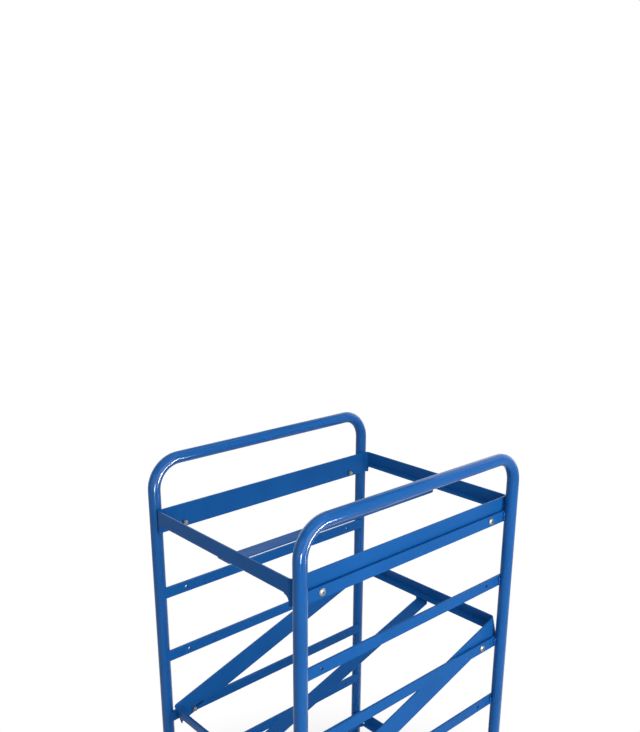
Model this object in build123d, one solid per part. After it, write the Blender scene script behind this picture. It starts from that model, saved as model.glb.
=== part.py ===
from build123d import *

import os
from math import atan2, cos, degrees, hypot, radians, sin, sqrt

# Shelf trolley: two tube bows carry shelves that are bolted to flat rungs and can be tilted.
# Millimetres. X runs from the left bow to the right bow, Y from the loading side to the rear.
# The origin is on the floor, midway between the bows and between their legs.

# Bows, bent from round tube, and the flat rungs welded between their legs
overall_width = 500.0
leg_spacing = 620.0
tube_diameter = 26.9
tube_wall = 2.3
bow_bend_radius = 62.0
handle_rise = 143.5
rung_count = 6
rung_pitch = 157.5
rung_height = 25.0
rung_thickness = 5.0
hole_diameter = 7.0
weld_gap = 0.05

# Shelves, welded from flat sides, folded rails and a middle bar
# The rungs that hold each shelf at the rear, counted from the top, and whether it stands tilted
shelf_rungs = (1, 3, 6)
shelf_tilted = (False, True, False)
sheet = 3.0
spacer_thickness = 1.9
face_clearance = 0.1
shelf_depth = 635.0
bolt_inset = 67.0
side_height = 53.0
side_drop = 10.0
rail_height = 33.0
rail_lip = 17.5
rail_bend_radius = 9.0
rail_return = 10.5
rail_fold_radius = 4.0
ear_width = 7.0
ear_radius = 13.0
middle_bar_width = 35.0
middle_bar_seat = 5.0
middle_bar_drop = 10.0
middle_bar_bend_radius = 4.5

# Bolts and nuts of the shelves
bolt_diameter = 6.0
running_clearance = 0.1
button_diameter = 16.0
button_height = 4.2
button_rim = 1.2
button_flat = 3.0
socket_width = 4.0
socket_depth = 2.2
spacer_diameter = 14.0
nut_width = 10.0
nut_height = 5.2
thread_end = 4.7

# Bolts and nuts of the castors
castor_bolt_diameter = 8.0
castor_hole_diameter = 9.0
castor_nut_width = 13.0
castor_nut_height = 6.5
castor_head_height = 5.3
castor_thread_end = 2.5

# Base: rectangular tube rails on a corner plate under each leg
lowest_rung_rise = 55.5
base_rail_height = 40.0
base_rail_width = 20.0
base_rail_wall = 2.0
corner_plate_thickness = 5.0
corner_plate_margin = 5.0
corner_plate_radius = 10.0

# Castors: two fixed ones under the left bow, two braked swivel ones under the right bow
castor_plate_length = 105.0
castor_plate_width = 85.0
castor_plate_thickness = 3.0
castor_plate_radius = 8.0
castor_bolts_x = 80.0
castor_bolts_y = 60.0
castor_inset_y = 90.0
fixed_inset_x = 63.5
swivel_inset_x = 101.5
castor_trail = 38.0
wheel_diameter = 125.0
tyre_width = 36.0
tyre_thickness = 15.0
tyre_shoulder_radius = 9.0
rim_width = 32.0
rim_thickness = 5.0
web_thickness = 6.0
hub_diameter = 36.0
hub_width = 45.0
rib_count = 8
rib_thickness = 3.0
rib_width = 26.0
mould_gap = 0.05
axle_diameter = 12.0
axle_head_width = 18.0
axle_head_height = 7.5
axle_thread_end = 2.5
fork_sheet = 3.0
fork_side_gap = 1.0
fork_boss_radius = 17.0
fork_headroom = 13.0
fixed_cheek_width = 60.0
crown_drop = 14.0
race_radius = 30.0
race_wall = 3.4
race_gap = 0.4
kingpin_diameter = 12.0
kingpin_head_radius = 9.0
brake_pivot_angle = 65.0
brake_tread_gap = 2.6
brake_ear_radius = 8.0
brake_pin_diameter = 6.0
brake_barrel_radius = 6.0
brake_pedal_width = 38.0
brake_pedal_reach = 46.0
brake_pedal_dip = 9.0
brake_pedal_thickness = 3.5
brake_shoe_length = 14.0
brake_shoe_width = 24.0
brake_shoe_gap = 6.0

# Places that follow from the sizes above
tube_radius = tube_diameter / 2
bow_x = overall_width / 2 - tube_radius
leg_y = leg_spacing / 2
hole_spacing = shelf_depth - 2 * bolt_inset
hole_y = hole_spacing / 2
castor_height = wheel_diameter + fork_headroom + crown_drop + castor_plate_thickness
corner_plate_top = castor_height + corner_plate_thickness
base_top = corner_plate_top + base_rail_height
shelf_count = len(shelf_rungs)
lowest_rung_z = base_top + lowest_rung_rise
top_rung_z = lowest_rung_z + (rung_count - 1) * rung_pitch
bow_top_z = top_rung_z + handle_rise
rung_inner_x = bow_x - tube_radius
rung_outer_x = rung_inner_x + rung_thickness
side_outer_x = rung_inner_x - spacer_thickness - face_clearance
side_inner_x = side_outer_x - sheet
side_top = side_height - side_drop
side_length = shelf_depth - 2 * (rail_bend_radius + rail_return)
rail_outer_y = shelf_depth / 2
rail_bottom = side_top - rail_height
middle_bar_length = shelf_depth - 2 * (rail_lip - middle_bar_seat)
tilted_span = hypot(hole_spacing, rung_pitch)
tilt_angle = degrees(atan2(rung_pitch, hole_spacing))
bolt_radius = bolt_diameter / 2
castor_bolt_radius = castor_bolt_diameter / 2
castor_y = leg_y - castor_inset_y
fixed_castor_x = -(bow_x - fixed_inset_x)
swivel_castor_x = bow_x - swivel_inset_x
wheel_radius = wheel_diameter / 2
tyre_inner_radius = wheel_radius - tyre_thickness
fork_inner_y = hub_width / 2 + fork_side_gap
fork_outer_y = fork_inner_y + fork_sheet
castor_plate_bottom = castor_height - castor_plate_thickness
crown_bottom = castor_plate_bottom - crown_drop
crown_top = crown_bottom + fork_sheet
brake_pivot_distance = wheel_diameter / 2 + brake_tread_gap + brake_barrel_radius
brake_pivot_x = castor_trail + brake_pivot_distance * cos(radians(brake_pivot_angle))
brake_pivot_z = wheel_diameter / 2 + brake_pivot_distance * sin(radians(brake_pivot_angle))

parts = {}


def rung_z(number):
    return top_rung_z - (number - 1) * rung_pitch


def cylinder_along_x(radius, start_x, end_x, y=0.0, z=0.0):
    """A round bar along X between two places."""
    middle = (start_x + end_x) / 2
    return Pos(middle, y, z) * Rot(0, 90, 0) * Cylinder(radius, abs(end_x - start_x))


def cylinder_along_y(radius, start_y, end_y, x=0.0, z=0.0):
    """A round bar along Y between two places."""
    middle = (start_y + end_y) / 2
    return Pos(x, middle, z) * Rot(90, 0, 0) * Cylinder(radius, abs(end_y - start_y))


def span_box(x_range, y_range, z_range):
    """A block given by its two ends along each axis."""
    ends = (x_range, y_range, z_range)
    sizes = [abs(high - low) for low, high in ends]
    centre = [(low + high) / 2 for low, high in ends]
    return Pos(*centre) * Box(*sizes)


def hex_bar(width, height):
    """A hexagonal bar standing on the ground plane, with the chamfered top corners of a nut or bolt."""
    body = extrude(RegularPolygon(width / 2, 6, major_radius=False), height)
    turned = Cylinder(width / sqrt(3), height, align=(Align.CENTER, Align.CENTER, Align.MIN))
    turned = chamfer(turned.edges().group_by(Axis.Z)[-1], width / sqrt(3) - width / 2)
    return body & turned


def mirrored_pair(shape):
    """The right-hand shape and its left-hand twin."""
    return {"right": shape, "left": mirror(shape, Plane.YZ)}


# Bows
def make_bow():
    """One tube bent to an inverted U: two legs and the push handle between them."""
    corners = [
        (bow_x, -leg_y, corner_plate_top),
        (bow_x, -leg_y, bow_top_z),
        (bow_x, leg_y, bow_top_z),
        (bow_x, leg_y, corner_plate_top),
    ]
    path = FilletPolyline(*corners, radius=bow_bend_radius)
    section = Circle(tube_radius) - Circle(tube_radius - tube_wall)
    foot = Plane(origin=corners[0], z_dir=(0, 0, 1))
    return sweep(foot * section, path=path)


def make_rung(number):
    """A flat bar flush with the inner side of the tube, notched round both legs, with a hole near each end."""
    z = rung_z(number)
    half_height = rung_height / 2
    rung = span_box((rung_inner_x, rung_outer_x), (-leg_y, leg_y), (z - half_height, z + half_height))
    for y in (-leg_y, leg_y):
        rung -= Pos(bow_x, y, z) * Cylinder(tube_radius + weld_gap, 2 * rung_height)
    for y in (-hole_y, hole_y):
        rung -= cylinder_along_x(hole_diameter / 2, rung_inner_x - 1, rung_outer_x + 1, y, z)
    return rung


for side, bow in mirrored_pair(make_bow()).items():
    parts[f"{side}_bow"] = bow
for number in range(1, rung_count + 1):
    for side, rung in mirrored_pair(make_rung(number)).items():
        parts[f"{side}_rung_{number}"] = rung


# Base
def rectangular_tube(length):
    """A hollow rail along Y, centred on its length and standing on the ground plane."""
    outer = Rectangle(base_rail_width, base_rail_height, align=(Align.CENTER, Align.MIN))
    inner_width = base_rail_width - 2 * base_rail_wall
    inner_height = base_rail_height - 2 * base_rail_wall
    inner = Pos(0, base_rail_wall) * Rectangle(inner_width, inner_height, align=(Align.CENTER, Align.MIN))
    section = Plane(origin=(0, length / 2, 0), x_dir=(-1, 0, 0), z_dir=(0, 1, 0)) * (outer - inner)
    return extrude(section, -length)


def make_side_rail():
    """The rail between the two legs of a bow, notched round them."""
    rail = Pos(bow_x, 0, corner_plate_top) * rectangular_tube(leg_spacing)
    for y in (-leg_y, leg_y):
        rail -= Pos(bow_x, y, corner_plate_top) * Cylinder(tube_radius + weld_gap, 4 * base_rail_height)
    return rail


def make_corner_plate(castor_x, side_sign):
    """The plate under one leg that ties it to both rails and takes a castor."""
    inner_x = castor_x - side_sign * (castor_plate_length / 2 + corner_plate_margin - corner_plate_radius)
    inner_y = castor_y - castor_plate_width / 2 - corner_plate_margin + corner_plate_radius
    outer_x = side_sign * (bow_x + tube_radius - corner_plate_radius)
    outer_y = leg_y + tube_radius - corner_plate_radius
    corners = (Pos(side_sign * bow_x, leg_y) * Circle(tube_radius)).edges()
    for x, y in ((inner_x, outer_y), (inner_x, inner_y), (outer_x, inner_y)):
        corners += (Pos(x, y) * Circle(corner_plate_radius)).edges()
    plate = Pos(0, 0, castor_height) * extrude(make_hull(corners), corner_plate_thickness)
    for x, y in castor_bolt_places(castor_x):
        plate -= Pos(x, y, castor_height) * Cylinder(castor_hole_diameter / 2, 4 * corner_plate_thickness)
    return plate


def castor_bolt_places(castor_x):
    """The four bolt places of the castor behind the middle."""
    half_x = castor_bolts_x / 2
    half_y = castor_bolts_y / 2
    return [(castor_x + sx * half_x, castor_y + sy * half_y) for sx in (-1, 1) for sy in (-1, 1)]


for side, rail in mirrored_pair(make_side_rail()).items():
    parts[f"base_{side}_rail"] = rail
cross_rail_length = 2 * (bow_x - base_rail_width / 2)
cross_rail = Pos(0, castor_y, corner_plate_top) * Rot(0, 0, 90) * rectangular_tube(cross_rail_length)
parts["base_rear_rail"] = cross_rail
parts["base_front_rail"] = mirror(cross_rail, Plane.XZ)
rear_plates = [make_corner_plate(fixed_castor_x, -1), make_corner_plate(swivel_castor_x, 1)]
parts["corner_plates"] = Compound(children=rear_plates + [mirror(plate, Plane.XZ) for plate in rear_plates])


# Shelves, in their own place: Y and Z from the pivot bolts' height, X across the trolley
def make_shelf_side():
    """A flat bar with a round pivot hole at the rear and a slot at the front that takes either bolt place."""
    side = span_box((side_inner_x, side_outer_x), (-side_length / 2, side_length / 2), (-side_drop, side_top))
    side -= cylinder_along_x(bolt_radius + running_clearance, side_inner_x - 1, side_outer_x + 1, hole_y)
    slot_length = tilted_span - hole_spacing
    slot_y = -hole_y - slot_length / 2
    slot_plane = Plane(origin=(side_inner_x - 1, slot_y, 0), x_dir=(0, 1, 0), z_dir=(1, 0, 0))
    slot = slot_plane * SlotCenterToCenter(slot_length, hole_diameter)
    return side - extrude(slot, sheet + 2)


def make_shelf_rail():
    """The rear rail: a strip with a lip along its foot, and full-height ears bent round to the sides."""
    band_x = side_outer_x - sheet / 2
    band_y = rail_outer_y - sheet / 2
    return_end = side_length / 2 + weld_gap
    plan = FilletPolyline(
        (-band_x, return_end),
        (-band_x, band_y),
        (band_x, band_y),
        (band_x, return_end),
        radius=rail_bend_radius - sheet / 2,
    )
    band = Pos(0, 0, -side_drop) * extrude(trace(plan, line_width=sheet), side_height)
    window_half = side_outer_x - ear_width
    lip_half = window_half - ear_radius
    window = Rectangle(2 * window_half, 2 * (rail_bottom + side_drop))
    window = fillet(window.vertices(), ear_radius)
    behind = Plane(origin=(0, rail_outer_y + 1, -side_drop), x_dir=(-1, 0, 0), z_dir=(0, 1, 0))
    band -= extrude(behind * window, -(rail_bend_radius + 1))
    band -= span_box((-lip_half, lip_half), (rail_outer_y - 2 * sheet, rail_outer_y + 1), (0, side_top + 1))
    fold = FilletPolyline(
        (rail_outer_y - rail_lip, rail_bottom + sheet / 2),
        (band_y, rail_bottom + sheet / 2),
        (band_y, side_top),
        radius=rail_fold_radius - sheet / 2,
    )
    end_plane = Plane(origin=(-lip_half, 0, 0), x_dir=(0, 1, 0), z_dir=(1, 0, 0))
    return band + extrude(end_plane * trace(fold, line_width=sheet), 2 * lip_half)


def make_middle_bar():
    """A flat strip below the lips, turned up at both ends to meet their undersides."""
    end_y = (middle_bar_length - sheet) / 2
    lip_z = rail_bottom - weld_gap
    strip_z = rail_bottom - middle_bar_drop - sheet / 2
    fold = FilletPolyline(
        (-end_y, lip_z),
        (-end_y, strip_z),
        (end_y, strip_z),
        (end_y, lip_z),
        radius=middle_bar_bend_radius - sheet / 2,
    )
    start = Plane(origin=(-middle_bar_width / 2, 0, 0), x_dir=(0, 1, 0), z_dir=(1, 0, 0))
    return extrude(start * trace(fold, line_width=sheet), middle_bar_width)


def make_lock_nut(front_y):
    """The nut and thread end of a front bolt, which stay with the shelf."""
    nut = Pos(side_inner_x, front_y, 0) * Rot(0, -90, 0) * hex_bar(nut_width, nut_height)
    inner_end = side_inner_x - nut_height - thread_end
    return nut + cylinder_along_x(bolt_radius, inner_end, side_outer_x, front_y)


def place_shelf(shape, index):
    """Moves a shelf piece to its rungs, and tips it about the rear bolts where it stands tilted."""
    turn = tilt_angle if shelf_tilted[index] else 0.0
    return Pos(0, hole_y, rung_z(shelf_rungs[index])) * Rot(turn, 0, 0) * Pos(0, -hole_y, 0) * shape


shelf_side = make_shelf_side()
shelf_rail = make_shelf_rail()
middle_bar = make_middle_bar()
for index in range(shelf_count):
    name = f"shelf_{index + 1}"
    for side, shape in mirrored_pair(shelf_side).items():
        parts[f"{name}_{side}_side"] = place_shelf(shape, index)
    parts[f"{name}_back_rail"] = place_shelf(shelf_rail, index)
    parts[f"{name}_front_rail"] = place_shelf(mirror(shelf_rail, Plane.XZ), index)
    parts[f"{name}_middle_bar"] = place_shelf(middle_bar, index)
    span = tilted_span if shelf_tilted[index] else hole_spacing
    nuts = mirrored_pair(make_lock_nut(hole_y - span)).values()
    parts[f"{name}_lock_nuts"] = Compound(children=[place_shelf(nut, index) for nut in nuts])


# Shelf bolts
def make_button_head():
    """A domed bolt head with a hexagon socket, on the ground plane with its crown up."""
    foot = Polyline((0, button_height), (0, 0), (button_diameter / 2, 0), (button_diameter / 2, button_rim))
    crown = TangentArc((button_flat, button_height), (button_diameter / 2, button_rim), tangent=(1, 0))
    flat = Line((button_flat, button_height), (0, button_height))
    outline = make_face([*foot.edges(), *crown.edges(), *flat.edges()])
    head = revolve(Plane.XZ * outline, Axis.Z)
    socket = extrude(RegularPolygon(socket_width / 2, 6, major_radius=False), socket_depth)
    return head - Pos(0, 0, button_height - socket_depth) * socket


def make_shelf_bolt(inner_end):
    """A button-head bolt through a rung, with its head on the rung's outer face."""
    head = Pos(rung_outer_x, 0, 0) * Rot(0, 90, 0) * make_button_head()
    return head + cylinder_along_x(bolt_radius, inner_end, rung_outer_x)


def make_spacer():
    """The washer between a rung and a shelf side."""
    inner_x = rung_inner_x - spacer_thickness
    ring = cylinder_along_x(spacer_diameter / 2, inner_x, rung_inner_x)
    return ring - cylinder_along_x(bolt_radius + weld_gap, inner_x - 1, rung_inner_x + 1)


def make_pivot_nut():
    """The nut that keeps a rear bolt in the shelf side and lets the side turn."""
    face_x = side_inner_x - face_clearance
    nut = Pos(face_x, 0, 0) * Rot(0, -90, 0) * hex_bar(nut_width, nut_height)
    return nut - cylinder_along_x(bolt_radius + weld_gap, face_x - 2 * nut_height, face_x + 1)


pivot_end = side_inner_x - face_clearance - nut_height - thread_end
pivot_bolt = make_shelf_bolt(pivot_end)
lock_bolt = make_shelf_bolt(side_outer_x + face_clearance)
spacer = make_spacer()
pivot_nut = make_pivot_nut()
groups = {"shelf_pivot_bolts": [], "shelf_lock_bolts": [], "shelf_spacers": []}
for index in range(shelf_count):
    rear_rung = shelf_rungs[index]
    front_rung = rear_rung + 1 if shelf_tilted[index] else rear_rung
    rear = Pos(0, hole_y, rung_z(rear_rung))
    front = Pos(0, -hole_y, rung_z(front_rung))
    groups["shelf_pivot_bolts"] += mirrored_pair(rear * pivot_bolt).values()
    groups["shelf_pivot_bolts"] += mirrored_pair(rear * pivot_nut).values()
    groups["shelf_lock_bolts"] += mirrored_pair(front * lock_bolt).values()
    groups["shelf_spacers"] += mirrored_pair(rear * spacer).values()
    groups["shelf_spacers"] += mirrored_pair(front * spacer).values()
for name, shapes in groups.items():
    parts[name] = Compound(children=shapes)


# Castors, in their own place: Z from the floor, X and Y from the middle of the castor's plate
def make_castor_plate():
    """The bolted top plate with its four holes."""
    outline = RectangleRounded(castor_plate_length, castor_plate_width, castor_plate_radius)
    holes = GridLocations(castor_bolts_x, castor_bolts_y, 2, 2) * Circle(castor_hole_diameter / 2)
    return Pos(0, 0, castor_plate_bottom) * extrude(outline - holes, castor_plate_thickness)


def make_fork_cheek(axle_x, top_points, ears=()):
    """One cheek of a fork in its upright plane: a plate drawn tight round its top edge, axle boss and ears."""
    edges = [Line(*top_points)]
    for x, z, radius in ((axle_x, wheel_radius, fork_boss_radius), *ears):
        edges += (Pos(x, z) * Circle(radius)).edges()
    cheek = make_hull(edges)
    return cheek - Pos(axle_x, wheel_radius) * Circle(axle_diameter / 2 + weld_gap)


def both_cheeks(outline):
    """The two cheeks of a fork, at either side of the wheel."""
    upright = Plane(origin=(0, -fork_inner_y, 0), x_dir=(1, 0, 0), z_dir=(0, -1, 0))
    cheek = extrude(upright * outline, fork_sheet)
    return cheek + mirror(cheek, Plane.XZ)


def make_fixed_bracket():
    """The fixed castor's bracket: its plate with two cheeks folded down to the axle."""
    half = fixed_cheek_width / 2
    outline = make_fork_cheek(0, ((-half, castor_plate_bottom), (half, castor_plate_bottom)))
    return make_castor_plate() + both_cheeks(outline)


def make_swivel_plate():
    """The swivel castor's plate with the upper ball race and the kingpin riveted through the crown."""
    race = Pos(0, 0, castor_plate_bottom) * Cylinder(race_radius, crown_drop - fork_sheet - race_gap,
                                                     align=(Align.CENTER, Align.CENTER, Align.MAX))
    pin = Cylinder(kingpin_diameter / 2, castor_plate_bottom - crown_bottom + 2 * race_gap,
                   align=(Align.CENTER, Align.CENTER, Align.MAX))
    rivet = Cylinder(kingpin_head_radius, fork_sheet, align=(Align.CENTER, Align.CENTER, Align.MAX))
    return (make_castor_plate() + race + Pos(0, 0, castor_plate_bottom) * pin
            + Pos(0, 0, crown_bottom - race_gap) * rivet)


def make_swivel_fork():
    """The turning fork: a crown with the lower race cup, and two cheeks that trail to the axle."""
    cup_radius = race_radius + race_gap + race_wall
    cup = Cylinder(cup_radius, crown_drop - 2 * race_gap, align=(Align.CENTER, Align.CENTER, Align.MIN))
    bowl = Cylinder(race_radius + race_gap, crown_drop, align=(Align.CENTER, Align.CENTER, Align.MIN))
    bore = Cylinder(kingpin_diameter / 2 + running_clearance, 4 * crown_drop)
    ears = ((brake_pivot_x, brake_pivot_z, brake_ear_radius),)
    top_edge = ((-race_radius, crown_top), (castor_trail, crown_top))
    outline = make_fork_cheek(castor_trail, top_edge, ears)
    outline -= Pos(brake_pivot_x, brake_pivot_z) * Circle(brake_pin_diameter / 2 + weld_gap)
    crown = span_box(
        (-race_radius, castor_trail), (-fork_outer_y, fork_outer_y), (crown_bottom, crown_top)
    )
    cup = Pos(0, 0, crown_bottom) * cup - Pos(0, 0, crown_top) * bowl
    return cup + crown + both_cheeks(outline) - Pos(0, 0, crown_bottom) * bore


def make_axle(axle_x):
    """The axle bolt across a fork, with its hexagon head and its nut."""
    shank_end = fork_outer_y + axle_head_height + axle_thread_end
    head = Pos(axle_x, -fork_outer_y, wheel_radius) * Rot(90, 0, 0) * hex_bar(axle_head_width, axle_head_height)
    bolt = head + cylinder_along_y(axle_diameter / 2, -fork_outer_y, shank_end, axle_x, wheel_radius)
    nut = Pos(axle_x, fork_outer_y, wheel_radius) * Rot(-90, 0, 0) * hex_bar(axle_head_width, axle_head_height)
    nut -= cylinder_along_y(axle_diameter / 2 + weld_gap, 0, 2 * shank_end, axle_x, wheel_radius)
    return [bolt, nut]


def make_tyre(axle_x):
    """The soft tread ring with rounded shoulders."""
    section = Pos(wheel_radius - tyre_thickness / 2, 0) * Rectangle(tyre_thickness, tyre_width)
    outer_corners = section.vertices().sort_by(Axis.X)[-2:]
    section = fillet(outer_corners, tyre_shoulder_radius)
    ring = revolve(section, Axis.Y)
    return Pos(axle_x, 0, wheel_radius) * ring


def make_wheel_hub(axle_x):
    """The moulded wheel body: rim, web, hub and the ribs between them on both faces."""
    rim_outer = tyre_inner_radius - mould_gap
    rim_inner = rim_outer - rim_thickness
    bore = axle_diameter / 2 + running_clearance
    hub_radius = hub_diameter / 2
    rim = Pos((rim_outer + rim_inner) / 2, 0) * Rectangle(rim_thickness, rim_width)
    web = Pos((rim_outer + bore) / 2, 0) * Rectangle(rim_outer - bore, web_thickness)
    boss = Pos((hub_radius + bore) / 2, 0) * Rectangle(hub_radius - bore, hub_width)
    body = revolve(rim + web + boss, Axis.Y)
    rib_start = hub_radius - rib_thickness
    rib_end = rim_inner + rib_thickness
    rib_half = rib_width / 2
    rib = span_box((rib_start, rib_end), (-rib_half, rib_half), (-rib_thickness / 2, rib_thickness / 2))
    for step in range(rib_count):
        body += Rot(0, step * 360 / rib_count, 0) * rib
    return Pos(axle_x, 0, wheel_radius) * body


def make_brake_pedal():
    """The foot brake: a pressed plate on a barrel with two trunnions, and a shoe that points at the tread."""
    half = brake_pedal_width / 2
    top_z = brake_pivot_z + brake_barrel_radius - brake_pedal_thickness / 2
    plate_path = FilletPolyline(
        (brake_pivot_x, top_z),
        (brake_pivot_x + brake_pedal_reach / 2, top_z),
        (brake_pivot_x + brake_pedal_reach, top_z - brake_pedal_dip),
        radius=brake_pedal_reach / 2,
    )
    upright = Plane(origin=(0, half, 0), x_dir=(1, 0, 0), z_dir=(0, -1, 0))
    pedal = extrude(upright * trace(plate_path, line_width=brake_pedal_thickness), brake_pedal_width)
    pedal += cylinder_along_y(brake_barrel_radius, -half, half, brake_pivot_x, brake_pivot_z)
    pedal += cylinder_along_y(brake_pin_diameter / 2, -fork_outer_y, fork_outer_y, brake_pivot_x, brake_pivot_z)
    shoe_half = brake_shoe_width / 2
    shoe_end = brake_pivot_x + brake_shoe_length
    shoe = span_box((brake_pivot_x, shoe_end), (-shoe_half, shoe_half), (wheel_radius, top_z))
    swept = cylinder_along_y(wheel_radius + brake_shoe_gap, -half, half, castor_trail, wheel_radius)
    return pedal + (shoe - swept)


fixed_axles = []
for place, y_sign in (("front", -1), ("rear", 1)):
    fixed = Pos(fixed_castor_x, y_sign * castor_y, 0)
    swivel = Pos(swivel_castor_x, y_sign * castor_y, 0)
    parts[f"{place}_fixed_bracket"] = fixed * make_fixed_bracket()
    fixed_axles += [fixed * piece for piece in make_axle(0)]
    parts[f"{place}_fixed_hub"] = fixed * make_wheel_hub(0)
    parts[f"{place}_fixed_tyre"] = fixed * make_tyre(0)
    parts[f"{place}_swivel_plate"] = swivel * make_swivel_plate()
    parts[f"{place}_swivel_fork"] = swivel * make_swivel_fork()
    parts[f"{place}_swivel_axle"] = Compound(children=[swivel * piece for piece in make_axle(castor_trail)])
    parts[f"{place}_swivel_hub"] = swivel * make_wheel_hub(castor_trail)
    parts[f"{place}_swivel_tyre"] = swivel * make_tyre(castor_trail)
    parts[f"{place}_brake_pedal"] = swivel * make_brake_pedal()
parts["fixed_axles"] = Compound(children=fixed_axles)


def make_castor_fastener():
    """A hexagon bolt from below through castor plate and corner plate, and its nut on top."""
    head_base = castor_plate_bottom
    head = Pos(0, 0, head_base) * Rot(180, 0, 0) * hex_bar(castor_nut_width, castor_head_height)
    top_end = corner_plate_top + castor_nut_height + castor_thread_end
    shank = Pos(0, 0, head_base) * Cylinder(castor_bolt_radius, top_end - head_base,
                                            align=(Align.CENTER, Align.CENTER, Align.MIN))
    nut = Pos(0, 0, corner_plate_top) * hex_bar(castor_nut_width, castor_nut_height)
    nut -= Pos(0, 0, corner_plate_top) * Cylinder(castor_bolt_radius + weld_gap, 4 * castor_nut_height)
    return [head + shank, nut]


castor_fasteners = []
for castor_x in (fixed_castor_x, swivel_castor_x):
    for x, y in castor_bolt_places(castor_x):
        for y_sign in (-1, 1):
            castor_fasteners += [Pos(x, y_sign * y, 0) * piece for piece in make_castor_fastener()]
parts["castor_fasteners"] = Compound(children=castor_fasteners)

os.makedirs("parts", exist_ok=True)
for name, shape in parts.items():
    export_step(shape, f"parts/{name}.step")
print(f"{len(parts)} nodes, overall height {bow_top_z + tube_radius:.1f}, tilt {tilt_angle:.2f} degrees")
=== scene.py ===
import math

import bmesh
import bpy
from mathutils import Matrix, Vector


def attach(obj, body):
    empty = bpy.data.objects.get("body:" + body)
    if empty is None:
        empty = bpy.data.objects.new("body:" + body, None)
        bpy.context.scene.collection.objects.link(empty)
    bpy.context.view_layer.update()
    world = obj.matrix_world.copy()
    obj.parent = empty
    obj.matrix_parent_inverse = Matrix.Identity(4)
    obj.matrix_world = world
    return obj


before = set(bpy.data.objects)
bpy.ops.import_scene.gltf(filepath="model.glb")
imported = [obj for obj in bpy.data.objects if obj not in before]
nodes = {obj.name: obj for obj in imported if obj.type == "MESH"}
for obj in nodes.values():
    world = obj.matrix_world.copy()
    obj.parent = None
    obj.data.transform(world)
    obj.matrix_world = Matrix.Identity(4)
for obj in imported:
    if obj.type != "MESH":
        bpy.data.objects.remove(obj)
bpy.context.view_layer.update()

scene = bpy.context.scene
scene.view_settings.view_transform = "Standard"

# The studio floor is a broad matt board that the trolley stands on.
# Near the castors it takes their real soft shadow, and round the trolley it is painted greyer as a shade;
# further out it runs into plain white.
floor_half = 30.0
floor_grey = (0.32, 0.32, 0.32, 1.0)
shadow_and_painted_shade_reach = 0.30
white_from = 0.90
near_white_share = 0.55
floor_mesh = bpy.data.meshes.new("studio_floor")
floor_shape = bmesh.new()
bmesh.ops.create_grid(floor_shape, x_segments=1, y_segments=1, size=floor_half)
floor_shape.to_mesh(floor_mesh)
floor_shape.free()
floor = bpy.data.objects.new("studio_floor", floor_mesh)
scene.collection.objects.link(floor)


def start_material(name):
    """A new finish with an empty node tree and its output."""
    material = bpy.data.materials.new(name)
    material.use_nodes = True
    tree = material.node_tree
    tree.nodes.clear()
    output = tree.nodes.new("ShaderNodeOutputMaterial")
    return material, tree, output.inputs["Surface"]


def seen_directly(tree):
    """1 for what is seen in the open, mirrored or through glass, and 0 for bounced light."""
    rays = tree.nodes.new("ShaderNodeLightPath")
    seen = rays.outputs["Is Camera Ray"]
    for name in ("Is Glossy Ray", "Is Transmission Ray"):
        either = tree.nodes.new("ShaderNodeMath")
        either.operation = "MAXIMUM"
        tree.links.new(seen, either.inputs[0])
        tree.links.new(rays.outputs[name], either.inputs[1])
        seen = either.outputs[0]
    return seen


def map_range(tree, value, start, end, low, high):
    """Carries a value from one range to another, with soft ends."""
    change = tree.nodes.new("ShaderNodeMapRange")
    change.interpolation_type = "SMOOTHSTEP"
    change.inputs["From Min"].default_value = start
    change.inputs["From Max"].default_value = end
    change.inputs["To Min"].default_value = low
    change.inputs["To Max"].default_value = high
    tree.links.new(value, change.inputs["Value"])
    return change.outputs["Result"]


floor_paint, tree, surface = start_material("studio_floor_paint")
floor_place = tree.nodes.new("ShaderNodeTexCoord")
floor_distance = tree.nodes.new("ShaderNodeVectorMath")
floor_distance.operation = "LENGTH"
tree.links.new(floor_place.outputs["Object"], floor_distance.inputs[0])
# Painted shade: close to the trolley less of the floor is plain white, so it is greyer there whether it
# is lit or not.
floor_white_share = map_range(tree, floor_distance.outputs["Value"], shadow_and_painted_shade_reach, white_from,
                              near_white_share, 1.0)
floor_share = tree.nodes.new("ShaderNodeMath")
floor_share.operation = "MULTIPLY"
tree.links.new(floor_white_share, floor_share.inputs[0])
tree.links.new(seen_directly(tree), floor_share.inputs[1])
floor_matt = tree.nodes.new("ShaderNodeBsdfDiffuse")
floor_matt.inputs["Color"].default_value = floor_grey
floor_white = tree.nodes.new("ShaderNodeEmission")
floor_mix = tree.nodes.new("ShaderNodeMixShader")
tree.links.new(floor_share.outputs[0], floor_mix.inputs[0])
tree.links.new(floor_matt.outputs[0], floor_mix.inputs[1])
tree.links.new(floor_white.outputs[0], floor_mix.inputs[2])
tree.links.new(floor_mix.outputs[0], surface)
floor_mesh.materials.append(floor_paint)

# The studio round the trolley has white walls that run over into a darker ceiling.
# It gives only a low, even light of its own; the lamps do the rest.
wall_light = 0.06
ceiling_level = 0.3
wall_top = 0.35
ceiling_from = 0.85
world = bpy.data.worlds.new("studio")
scene.world = world
world.use_nodes = True
tree = world.node_tree
tree.nodes.clear()
world_output = tree.nodes.new("ShaderNodeOutputWorld")
walls = tree.nodes.new("ShaderNodeBackground")
walls.inputs["Color"].default_value = (1.0, 1.0, 1.0, 1.0)
wall_way = tree.nodes.new("ShaderNodeTexCoord")
wall_height = tree.nodes.new("ShaderNodeSeparateXYZ")
tree.links.new(wall_way.outputs["Generated"], wall_height.inputs[0])
wall_white = map_range(tree, wall_height.outputs["Z"], wall_top, ceiling_from, 1.0, ceiling_level)
wall_level = tree.nodes.new("ShaderNodeMix")
wall_level.inputs["A"].default_value = wall_light
tree.links.new(seen_directly(tree), wall_level.inputs["Factor"])
tree.links.new(wall_white, wall_level.inputs["B"])
tree.links.new(wall_level.outputs["Result"], walls.inputs["Strength"])
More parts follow.
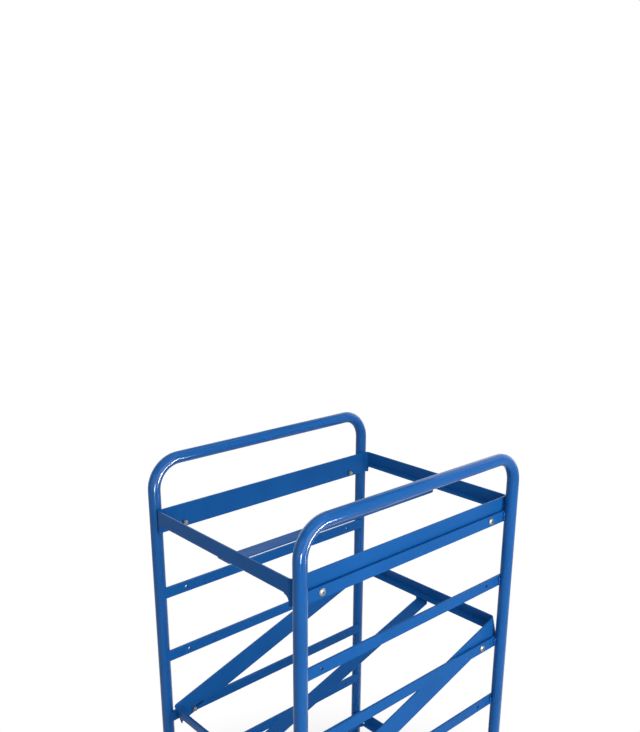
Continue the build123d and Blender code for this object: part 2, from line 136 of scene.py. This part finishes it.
tree.links.new(walls.outputs[0], world_output.inputs["Surface"])

# Broad soft boxes light the trolley from the front, the right, above, the left and the back.
# Two small ones on the right act only on the bows and only as highlights, along the bends.
strip_spread = math.radians(22.0)


def soft_box(name, place, target, width, height, power):
    """A soft lamp that faces its target."""
    lamp = bpy.data.lights.new(name, "AREA")
    lamp.shape = "RECTANGLE"
    lamp.size = width
    lamp.size_y = height
    lamp.energy = power
    holder = bpy.data.objects.new(name, lamp)
    facing = (Vector(target) - Vector(place)).to_track_quat("-Z", "Y")
    holder.matrix_world = Matrix.Translation(place) @ facing.to_matrix().to_4x4()
    scene.collection.objects.link(holder)
    return holder


soft_box("lamp_front", (1.0, -3.0, 1.6), (0.0, 0.0, 0.7), 2.4, 2.4, 34.0)
soft_box("lamp_right", (2.8, -0.2, 1.5), (0.0, 0.0, 0.8), 2.4, 2.2, 112.0)
soft_box("lamp_top", (0.3, -0.1, 3.3), (0.0, 0.0, 0.8), 3.0, 3.0, 36.0)
soft_box("lamp_left", (-3.4, 0.3, 2.1), (0.0, 0.0, 0.7), 4.0, 3.6, 76.0)
soft_box("lamp_back", (-0.3, 3.5, 2.1), (0.0, 0.0, 0.7), 4.0, 3.6, 70.0)
front_strip = soft_box("front_strip", (2.03, -1.38, 0.64), (0.0, -0.31, 1.14), 0.40, 0.55, 110.0)
rear_strip = soft_box("rear_strip", (1.2, 0.59, 0.60), (0.0, -0.28, 1.165), 0.12, 0.12, 0.55)
rear_strip.data.spread = strip_spread
bows_only = bpy.data.collections.new("bows_only")
for side in ("left", "right"):
    bows_only.objects.link(nodes[f"{side}_bow"])
for strip in (front_strip, rear_strip):
    strip.visible_diffuse = False
    strip.light_linking.receiver_collection = bows_only

# The camera stands at eye height off the front right corner and looks down on the top shelf.
# The lens is shifted, so that the picture shows the space above the trolley.
view_turn = math.radians(47.7460)
view_dip = math.radians(17.1822)
view_roll = math.radians(0.1619)
view_target = Vector((-0.054421, 0.0, 1.193319))
view_distance = 1.773715
view_focal = 811.460
view_centre_y = 450.0
image_long_side = 732.0
sensor_long_side = 36.0
back = Vector((math.sin(view_turn) * math.cos(view_dip), -math.cos(view_turn) * math.cos(view_dip),
               math.sin(view_dip)))
level = Vector((math.cos(view_turn), math.sin(view_turn), 0.0))
rise = back.cross(level)
across = math.cos(view_roll) * level + math.sin(view_roll) * rise
upward = math.cos(view_roll) * rise - math.sin(view_roll) * level
camera_data = bpy.data.cameras.new("camera")
camera_data.sensor_width = sensor_long_side
camera_data.lens = view_focal * sensor_long_side / image_long_side
camera_data.shift_y = (view_centre_y - image_long_side / 2) / image_long_side
camera = bpy.data.objects.new("camera", camera_data)
turned = Matrix((across, upward, back)).transposed().to_4x4()
camera.matrix_world = Matrix.Translation(view_target + back * view_distance) @ turned
scene.collection.objects.link(camera)
scene.camera = camera

# The two bows are round steel tube, cold bent to an inverted U whose top is the push handle.
# They have a glossy blue powder coat, baked on, with a faint orange-peel skin.
coat_blue = (0.0067, 0.0846, 0.2916, 1.0)
coat_deep_blue = (0.0055, 0.0755, 0.264, 1.0)
coat_cloud_scale = 9.0
coat_flow_scale = 34.0
coat_wave_depth = 0.00003
peel_scale = 420.0
peel_depth = 0.00001
tube_gloss = 0.13
tube_roughness = (0.08, 0.12)
grain_span = (0.3, 0.7)
bow_foot_edge = 0.0003
facet_gap = 0.00001
flat_turn = math.radians(0.5)
sharp_turn = math.radians(35.0)
edge_steps = 2


def grain(tree, scale, detail):
    """A noise over the piece's own coordinates, most of it within the grain span."""
    place = tree.nodes.new("ShaderNodeTexCoord")
    noise = tree.nodes.new("ShaderNodeTexNoise")
    noise.inputs["Scale"].default_value = scale
    noise.inputs["Detail"].default_value = detail
    tree.links.new(place.outputs["Object"], noise.inputs["Vector"])
    return noise.outputs["Fac"]


def blend_colours(tree, value, low, high):
    """Goes from one colour to another as a grain goes through its middle range."""
    ramp = tree.nodes.new("ShaderNodeValToRGB")
    for stop, position, colour in zip(ramp.color_ramp.elements, grain_span, (low, high)):
        stop.position = position
        stop.color = colour
    tree.links.new(value, ramp.inputs["Fac"])
    return ramp.outputs["Color"]


def raise_skin(tree, height, depth, under=None):
    """A bump of the given depth in metres, laid over another where one is given."""
    bump = tree.nodes.new("ShaderNodeBump")
    bump.inputs["Strength"].default_value = 1.0
    bump.inputs["Distance"].default_value = depth
    tree.links.new(height, bump.inputs["Height"])
    if under is not None:
        tree.links.new(under, bump.inputs["Normal"])
    return bump.outputs["Normal"]


def powder_coat(name, gloss, roughness):
    """Blue powder coat with a given gloss and a range of roughness."""
    material, tree, surface = start_material(name)
    coat = tree.nodes.new("ShaderNodeBsdfPrincipled")
    coat_cloud = grain(tree, coat_cloud_scale, detail=3.0)
    tree.links.new(blend_colours(tree, coat_cloud, coat_deep_blue, coat_blue), coat.inputs["Base Color"])
    coat_flow = grain(tree, coat_flow_scale, detail=2.0)
    tree.links.new(map_range(tree, coat_flow, *grain_span, *roughness), coat.inputs["Roughness"])
    coat_wave = raise_skin(tree, coat_flow, coat_wave_depth)
    peel = raise_skin(tree, grain(tree, peel_scale, detail=1.0), peel_depth, coat_wave)
    tree.links.new(peel, coat.inputs["Normal"])
    coat.inputs["Specular IOR Level"].default_value = gloss
    tree.links.new(coat.outputs[0], surface)
    return material


def finish_node(name, material, edge=None):
    """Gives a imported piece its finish, and breaks its sharp edges where a width is given."""
    node = nodes[name]
    node.data.materials.clear()
    node.data.materials.append(material)
    if edge is None:
        return
    join = node.modifiers.new("join_facets", "WELD")
    join.merge_threshold = facet_gap
    flats = node.modifiers.new("join_flats", "DECIMATE")
    flats.decimate_type = "DISSOLVE"
    flats.angle_limit = flat_turn
    soft = node.modifiers.new("soft_edge", "BEVEL")
    soft.width = edge
    soft.segments = edge_steps
    soft.limit_method = "ANGLE"
    soft.angle_limit = sharp_turn
    soft.harden_normals = True


blue_coat = powder_coat("blue_powder_coat", tube_gloss, tube_roughness)
for side in ("left", "right"):
    finish_node(f"{side}_bow", blue_coat, bow_foot_edge)

# The rungs are flat steel bar with a drilled hole near each end, six to a side.
# Each is notched round both legs of its bow and set flush with the tube's inner side before coating.
# On bar and sheet the same coat comes out duller than on the tubes.
rung_count = 6
flat_gloss = 0.06
flat_roughness = (0.30, 0.38)
flat_coat = powder_coat("blue_powder_coat_on_flats", flat_gloss, flat_roughness)
for side in ("left", "right"):
    for number in range(1, rung_count + 1):
        finish_node(f"{side}_rung_{number}", flat_coat)

# A short bead of weld joins each end of a rung to its leg, in the corner on the outer side.
# The beads are steel, laid in small passes that leave ripples, and coated with the rest.
top_rung_z = 1.043
rung_pitch = 0.1575
rung_bead_x = 0.22991
rung_bead_y = 0.29575
rung_bead_half = 0.0105
rung_bead_radius = 0.0022
bead_pass = 0.0025
bead_sides = 10
bead_trough = 0.88
bead_end = 0.55
fewest_ripples = 2


def lay_bead(shape, start, end, radius, trough=bead_trough):
    """A rod of weld with ripples and narrower ends. The disc of each step stays inside the rod."""
    start, end = Vector(start), Vector(end)
    turn = (end - start).to_track_quat("Z", "X").to_matrix().to_4x4()
    ripples = max(fewest_ripples, round((end - start).length / bead_pass / 2))
    steps = 2 * ripples + 2
    width = bead_end * radius
    disc = bmesh.ops.create_circle(shape, cap_ends=True, segments=bead_sides, radius=width,
                                   matrix=Matrix.Translation(start) @ turn)
    cap = disc["verts"][0].link_faces[0]
    for step in range(1, steps + 1):
        grown = bmesh.ops.extrude_face_region(shape, geom=[cap])["geom"]
        cap = next(item for item in grown if isinstance(item, bmesh.types.BMFace))
        bmesh.ops.translate(shape, verts=cap.verts, vec=(end - start) / steps)
        if step == steps:
            next_width = bead_end * radius
        elif step % 2:
            next_width = radius
        else:
            next_width = trough * radius
        scale = next_width / width
        centre = start.lerp(end, step / steps)
        bmesh.ops.scale(shape, verts=cap.verts, vec=(scale, scale, scale),
                        space=Matrix.Translation(-centre))
        width = next_width


def add_piece(name, shape, material, body):
    """Makes a finished shape a piece of the trolley that rides on a body."""
    bmesh.ops.recalc_face_normals(shape, faces=shape.faces)
    mesh = bpy.data.meshes.new(name)
    shape.to_mesh(mesh)
    shape.free()
    mesh.materials.append(material)
    mesh.shade_smooth()
    piece = bpy.data.objects.new(name, mesh)
    scene.collection.objects.link(piece)
    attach(piece, body)


rung_welds = bmesh.new()
for side_sign in (-1, 1):
    for end_sign in (-1, 1):
        for number in range(rung_count):
            x, y = side_sign * rung_bead_x, end_sign * rung_bead_y
            z = top_rung_z - number * rung_pitch
            lay_bead(rung_welds, (x, y, z - rung_bead_half), (x, y, z + rung_bead_half), rung_bead_radius)
add_piece("rung_welds", rung_welds, blue_coat, "frame")

# The base is four rails of rectangular tube: two between the legs of the bows and two across.
# They stand on a corner plate under each leg, and are coated with the bows.
base_rail_edge = 0.0006
for place in ("front", "rear", "left", "right"):
    finish_node(f"base_{place}_rail", flat_coat, base_rail_edge)
finish_node("corner_plates", flat_coat)

# Beads of weld hold the base together: up both sides of each leg, in the corners of the cross rails,
# and round the foot of each leg on its corner plate.
leg_x = 0.23655
leg_y = 0.310
cross_rail_y = 0.220
rail_half = 0.010
leg_radius = 0.01345
plate_top = 0.160
rail_top = 0.200
base_bead_radius = 0.0025
bead_end_gap = 0.002
leg_bead_out = 0.47 * base_bead_radius
leg_bead_back = 0.18 * base_bead_radius
corner_bead_share = 0.4
corner_bead_out = corner_bead_share * base_bead_radius
foot_bead_out = 0.35 * base_bead_radius
foot_bead_radius = 0.9 * base_bead_radius
foot_bead_steps = 40
leg_corner_y = leg_y - math.sqrt(leg_radius ** 2 - rail_half ** 2)


def lay_ring(shape, centre, ring_radius, radius):
    """A ring of weld round an upright tube."""
    side = Matrix.Translation(Vector(centre) + Vector((ring_radius, 0.0, 0.0)))
    upright = Matrix.Rotation(math.pi / 2, 4, "X")
    disc = bmesh.ops.create_circle(shape, segments=bead_sides, radius=radius, matrix=side @ upright)
    rim = disc["verts"]
    edges = list(dict.fromkeys(edge for vert in rim for edge in vert.link_edges))
    bmesh.ops.spin(shape, geom=rim + edges, cent=centre, axis=(0.0, 0.0, 1.0), angle=2 * math.pi,
                   steps=foot_bead_steps, use_merge=True)


base_welds = bmesh.new()
low, high = plate_top + bead_end_gap, rail_top - bead_end_gap
for side_sign in (-1, 1):
    for end_sign in (-1, 1):
        for face_sign in (-1, 1):
            x = side_sign * leg_x + face_sign * (rail_half + leg_bead_out)
            y = end_sign * (leg_corner_y - leg_bead_back)
            lay_bead(base_welds, (x, y, low), (x, y, high), base_bead_radius)
            x = side_sign * (leg_x - rail_half - corner_bead_out)
            y = end_sign * (cross_rail_y + face_sign * (rail_half + corner_bead_out))
            lay_bead(base_welds, (x, y, low), (x, y, high), base_bead_radius)
        foot = (side_sign * leg_x, end_sign * leg_y, plate_top + foot_bead_out)
        lay_ring(base_welds, foot, leg_radius + foot_bead_out, foot_bead_radius)
add_piece("base_welds", base_welds, blue_coat, "frame")

# The castors' brackets, plates and forks are pressed from sheet steel and zinc plated after pressing.
# The plating is a dull silver with faint crystals and drawn marks from the press.
pressed_light = (0.52, 0.53, 0.54, 1.0)
pressed_dark = (0.46, 0.47, 0.485, 1.0)
spangle_scale = 150.0
press_mark_scale = 26.0
press_mark_depth = 0.00012
pressed_roughness = (0.3, 0.46)
plating_grain_scale = 700.0
plating_grain_depth = 0.00002
pressed_zinc, tree, surface = start_material("pressed_zinc")
plating = tree.nodes.new("ShaderNodeBsdfPrincipled")
plating.inputs["Metallic"].default_value = 1.0
spangle_place = tree.nodes.new("ShaderNodeTexCoord")
spangle = tree.nodes.new("ShaderNodeTexVoronoi")
spangle.inputs["Scale"].default_value = spangle_scale
tree.links.new(spangle_place.outputs["Object"], spangle.inputs["Vector"])
spangle_cell = tree.nodes.new("ShaderNodeSeparateColor")
tree.links.new(spangle.outputs["Color"], spangle_cell.inputs[0])
spangle_colour = blend_colours(tree, spangle_cell.outputs[0], pressed_dark, pressed_light)
tree.links.new(spangle_colour, plating.inputs["Base Color"])
press_marks = grain(tree, press_mark_scale, detail=4.0)
tree.links.new(map_range(tree, press_marks, *grain_span, *pressed_roughness), plating.inputs["Roughness"])
press_wave = raise_skin(tree, press_marks, press_mark_depth)
plating_grain = grain(tree, plating_grain_scale, detail=2.0)
tree.links.new(raise_skin(tree, plating_grain, plating_grain_depth, press_wave), plating.inputs["Normal"])
tree.links.new(plating.outputs[0], surface)
for place in ("front", "rear"):
    for piece in ("fixed_bracket", "swivel_plate", "swivel_fork"):
        finish_node(f"{place}_{piece}", pressed_zinc)

# The wheel bodies are moulded from dark grey plastic, with ribs between hub and rim.
# The mould leaves a fine even grain and slightly shinier patches.
core_grey = (0.030, 0.031, 0.034, 1.0)
core_dark_grey = (0.022, 0.023, 0.026, 1.0)
mould_flow_scale = 22.0
core_roughness = (0.42, 0.56)
mould_grain_scale = 900.0
mould_grain_depth = 0.00004
wheel_core, tree, surface = start_material("wheel_core_plastic")
moulding = tree.nodes.new("ShaderNodeBsdfPrincipled")
mould_flow = grain(tree, mould_flow_scale, detail=3.0)
tree.links.new(blend_colours(tree, mould_flow, core_dark_grey, core_grey), moulding.inputs["Base Color"])
tree.links.new(map_range(tree, mould_flow, *grain_span, *core_roughness), moulding.inputs["Roughness"])
mould_grain = grain(tree, mould_grain_scale, detail=2.0)
tree.links.new(raise_skin(tree, mould_grain, mould_grain_depth), moulding.inputs["Normal"])
tree.links.new(moulding.outputs[0], surface)
wheel_places = [f"{place}_{kind}" for place in ("front", "rear") for kind in ("fixed", "swivel")]
for place in wheel_places:
    finish_node(f"{place}_hub", wheel_core)

# The tyres are soft grey rubber that leaves no marks, moulded on to the wheel bodies.
# They have a fine parting line round the middle of the tread and a dusty, matt skin.
tyre_grey = (0.165, 0.168, 0.172, 1.0)
tyre_dark_grey = (0.130, 0.133, 0.137, 1.0)
dust_scale = 40.0
rubber_roughness = (0.62, 0.8)
rubber_grain_scale = 600.0
rubber_grain_depth = 0.00006
castor_y = 0.220
parting_width = 0.0007
parting_height = 0.00025
tyre_edge = 0.0006
grey_rubber, tree, surface = start_material("grey_rubber")
rubber = tree.nodes.new("ShaderNodeBsdfPrincipled")
rubber_dust = grain(tree, dust_scale, detail=5.0)
tree.links.new(blend_colours(tree, rubber_dust, tyre_dark_grey, tyre_grey), rubber.inputs["Base Color"])
tree.links.new(map_range(tree, rubber_dust, *grain_span, *rubber_roughness), rubber.inputs["Roughness"])


def distance_from(tree, value, middle):
    """How far a value is from a middle, without its sign."""
    offset = tree.nodes.new("ShaderNodeMath")
    offset.operation = "SUBTRACT"
    offset.inputs[1].default_value = middle
    tree.links.new(value, offset.inputs[0])
    size = tree.nodes.new("ShaderNodeMath")
    size.operation = "ABSOLUTE"
    tree.links.new(offset.outputs[0], size.inputs[0])
    return size.outputs[0]


def own_coordinate(tree, axis):
    """One of the piece's own coordinates."""
    place = tree.nodes.new("ShaderNodeTexCoord")
    split = tree.nodes.new("ShaderNodeSeparateXYZ")
    tree.links.new(place.outputs["Object"], split.inputs[0])
    return split.outputs[axis]


tread_y = distance_from(tree, own_coordinate(tree, "Y"), 0.0)
parting = map_range(tree, distance_from(tree, tread_y, castor_y), 0.0, parting_width, 1.0, 0.0)
rubber_skin = raise_skin(tree, grain(tree, rubber_grain_scale, detail=3.0), rubber_grain_depth)
tree.links.new(raise_skin(tree, parting, parting_height, rubber_skin), rubber.inputs["Normal"])
tree.links.new(rubber.outputs[0], surface)
for place in wheel_places:
    finish_node(f"{place}_tyre", grey_rubber, tyre_edge)

# The axles, bolts, nuts and spacers are turned steel with a bright zinc plate.
# It is a clean silver with light handling marks; a bolt's free end shows its thread.
zinc_light = (0.34, 0.345, 0.34, 1.0)
zinc_grey = (0.26, 0.27, 0.265, 1.0)
handling_scale = 160.0
zinc_roughness = (0.26, 0.4)
zinc_grain_scale = 1200.0
zinc_grain_depth = 0.00001
thread_depth = 0.0004
wave_radians = 20.0
castor_thread_full = 0.1668
castor_thread_none = 0.1664
castor_thread_pitch = 0.00125


def bright_zinc(name, thread_axis=None, thread_full=0.0, thread_none=0.0, thread_pitch=0.001):
    """Bright plated steel. On a given axis it has a thread, full at one place and gone at the next."""
    material, tree, surface = start_material(name)
    bright = tree.nodes.new("ShaderNodeBsdfPrincipled")
    bright.inputs["Metallic"].default_value = 1.0
    marks = grain(tree, handling_scale, detail=4.0)
    tree.links.new(blend_colours(tree, marks, zinc_grey, zinc_light), bright.inputs["Base Color"])
    tree.links.new(map_range(tree, marks, *grain_span, *zinc_roughness), bright.inputs["Roughness"])
    skin = raise_skin(tree, grain(tree, zinc_grain_scale, detail=2.0), zinc_grain_depth)
    if thread_axis is not None:
        wave_place = tree.nodes.new("ShaderNodeTexCoord")
        wave = tree.nodes.new("ShaderNodeTexWave")
        wave.bands_direction = thread_axis
        # The wave texture goes through 20 radians in a metre at a scale of one.
        wave.inputs["Scale"].default_value = 2 * math.pi / (wave_radians * thread_pitch)
        tree.links.new(wave_place.outputs["Object"], wave.inputs["Vector"])
        along = distance_from(tree, own_coordinate(tree, thread_axis), 0.0)
        ridge = tree.nodes.new("ShaderNodeMath")
        ridge.operation = "MULTIPLY"
        tree.links.new(wave.outputs["Fac"], ridge.inputs[0])
        tree.links.new(map_range(tree, along, thread_full, thread_none, 1.0, 0.0), ridge.inputs[1])
        skin = raise_skin(tree, ridge.outputs[0], thread_depth, skin)
    tree.links.new(skin, bright.inputs["Normal"])
    tree.links.new(bright.outputs[0], surface)
    return material


axle_zinc = bright_zinc("axle_zinc")
for name in ("fixed_axles", "front_swivel_axle", "rear_swivel_axle"):
    finish_node(name, axle_zinc)
castor_bolt_zinc = bright_zinc("castor_bolt_zinc", "Z", castor_thread_full, castor_thread_none,
                               castor_thread_pitch)
finish_node("castor_fasteners", castor_bolt_zinc)

# Each swivel castor has a foot brake, a pressed steel pedal with a black satin coat.
# Three ribs pressed across its tip keep a shoe from slipping.
pedal_black = (0.026, 0.026, 0.028, 1.0)
pedal_soft_black = (0.018, 0.018, 0.020, 1.0)
satin_cloud_scale = 60.0
satin_roughness = (0.34, 0.48)
satin_grain_scale = 800.0
satin_grain_depth = 0.00004
pedal_coat, tree, surface = start_material("pedal_satin_black")
satin = tree.nodes.new("ShaderNodeBsdfPrincipled")
satin_cloud = grain(tree, satin_cloud_scale, detail=4.0)
satin_colour = blend_colours(tree, satin_cloud, pedal_soft_black, pedal_black)
tree.links.new(satin_colour, satin.inputs["Base Color"])
tree.links.new(map_range(tree, satin_cloud, *grain_span, *satin_roughness), satin.inputs["Roughness"])
satin_grain = grain(tree, satin_grain_scale, detail=2.0)
tree.links.new(raise_skin(tree, satin_grain, satin_grain_depth), satin.inputs["Normal"])
tree.links.new(satin.outputs[0], surface)
pedal_pivot_x = 0.20310
pedal_pivot_z = 0.12694
pedal_bend = 0.023
pedal_drop = 0.009
pedal_half_thickness = 0.00175
pedal_middle_rise = 0.00425
rib_places = (0.030, 0.0355, 0.041)
rib_half_length = 0.014
rib_radius = 0.0011
tip_fall = math.atan2(pedal_drop, pedal_bend)
for place, end_sign in (("front", -1), ("rear", 1)):
    finish_node(f"{place}_brake_pedal", pedal_coat)
    grip = bmesh.new()
    for reach in rib_places:
        x = pedal_pivot_x + reach + pedal_half_thickness * math.sin(tip_fall)
        fall = (reach - pedal_bend) * math.tan(tip_fall)
        z = pedal_pivot_z + pedal_middle_rise - fall + pedal_half_thickness * math.cos(tip_fall)
        y = end_sign * castor_y
        lay_bead(grip, (x, y - rib_half_length, z), (x, y + rib_half_length, z), rib_radius, trough=1.0)
    add_piece(f"{place}_brake_grip", grip, pedal_coat, f"{place}_brake")

# The shelves are open frames of flat sides and folded rails with a middle bar, welded and coated blue.
# They are slipped in between the bows after coating.
shelf_bodies = {1: "shelf_1", 2: "shelf_2", 3: "frame"}
middle_bar_edge = 0.0005
for number in shelf_bodies:
    for piece in ("left_side", "right_side", "front_rail", "back_rail"):
        finish_node(f"shelf_{number}_{piece}", flat_coat)
    finish_node(f"shelf_{number}_middle_bar", flat_coat, middle_bar_edge)

# The shelf welds are upright seams on the inner faces, where the sides meet the ears of the rails,
# and short beads below the lips at the ends of the middle bar. The outer faces are ground flat.
shelf_pivot_y = 0.2505
shelf_tilt = math.atan2(rung_pitch, 2 * shelf_pivot_y)
shelf_rungs_down = {1: 0, 2: 2, 3: 5}
shelf_turns = {1: 0.0, 2: shelf_tilt, 3: 0.0}
seam_x = 0.2188
seam_y = 0.298
seam_low, seam_high = -0.008, 0.041
seam_radius = 0.0016
bar_end_y = 0.305
lip_underside = 0.010
bar_bead_half = 0.0165
bar_bead_radius = 0.0018
bar_bead_out = corner_bead_share * bar_bead_radius
for number, body in shelf_bodies.items():
    shelf_welds = bmesh.new()
    for end_sign in (-1, 1):
        for side_sign in (-1, 1):
            x, y = side_sign * seam_x, end_sign * seam_y
            lay_bead(shelf_welds, (x, y, seam_low), (x, y, seam_high), seam_radius)
        y = end_sign * (bar_end_y + bar_bead_out)
        z = lip_underside - bar_bead_out
        lay_bead(shelf_welds, (-bar_bead_half, y, z), (bar_bead_half, y, z), bar_bead_radius)
    height = top_rung_z - shelf_rungs_down[number] * rung_pitch
    pivot = Vector((0.0, shelf_pivot_y, 0.0))
    raised = Matrix.Translation(pivot + Vector((0.0, 0.0, height)))
    tilted = Matrix.Rotation(shelf_turns[number], 4, "X")
    bmesh.ops.transform(shelf_welds, matrix=raised @ tilted @ Matrix.Translation(-pivot),
                        verts=shelf_welds.verts)
    add_piece(f"shelf_{number}_welds", shelf_welds, blue_coat, body)

# The shelves hang on domed bolts with a hexagon socket, whose heads are outside the rungs.
# Spacer washers stand between rung and shelf side, and plain nuts hold the bolts inside.
shelf_thread_full = 0.2127
shelf_thread_none = 0.2129
shelf_thread_pitch = 0.001
spacer_edge = 0.0003
shelf_bolt_zinc = bright_zinc("shelf_bolt_zinc", "X", shelf_thread_full, shelf_thread_none,
                              shelf_thread_pitch)
for name in ("shelf_pivot_bolts", "shelf_lock_bolts"):
    finish_node(name, shelf_bolt_zinc)
for number in shelf_bodies:
    finish_node(f"shelf_{number}_lock_nuts", shelf_bolt_zinc)
finish_node("shelf_spacers", axle_zinc, spacer_edge)
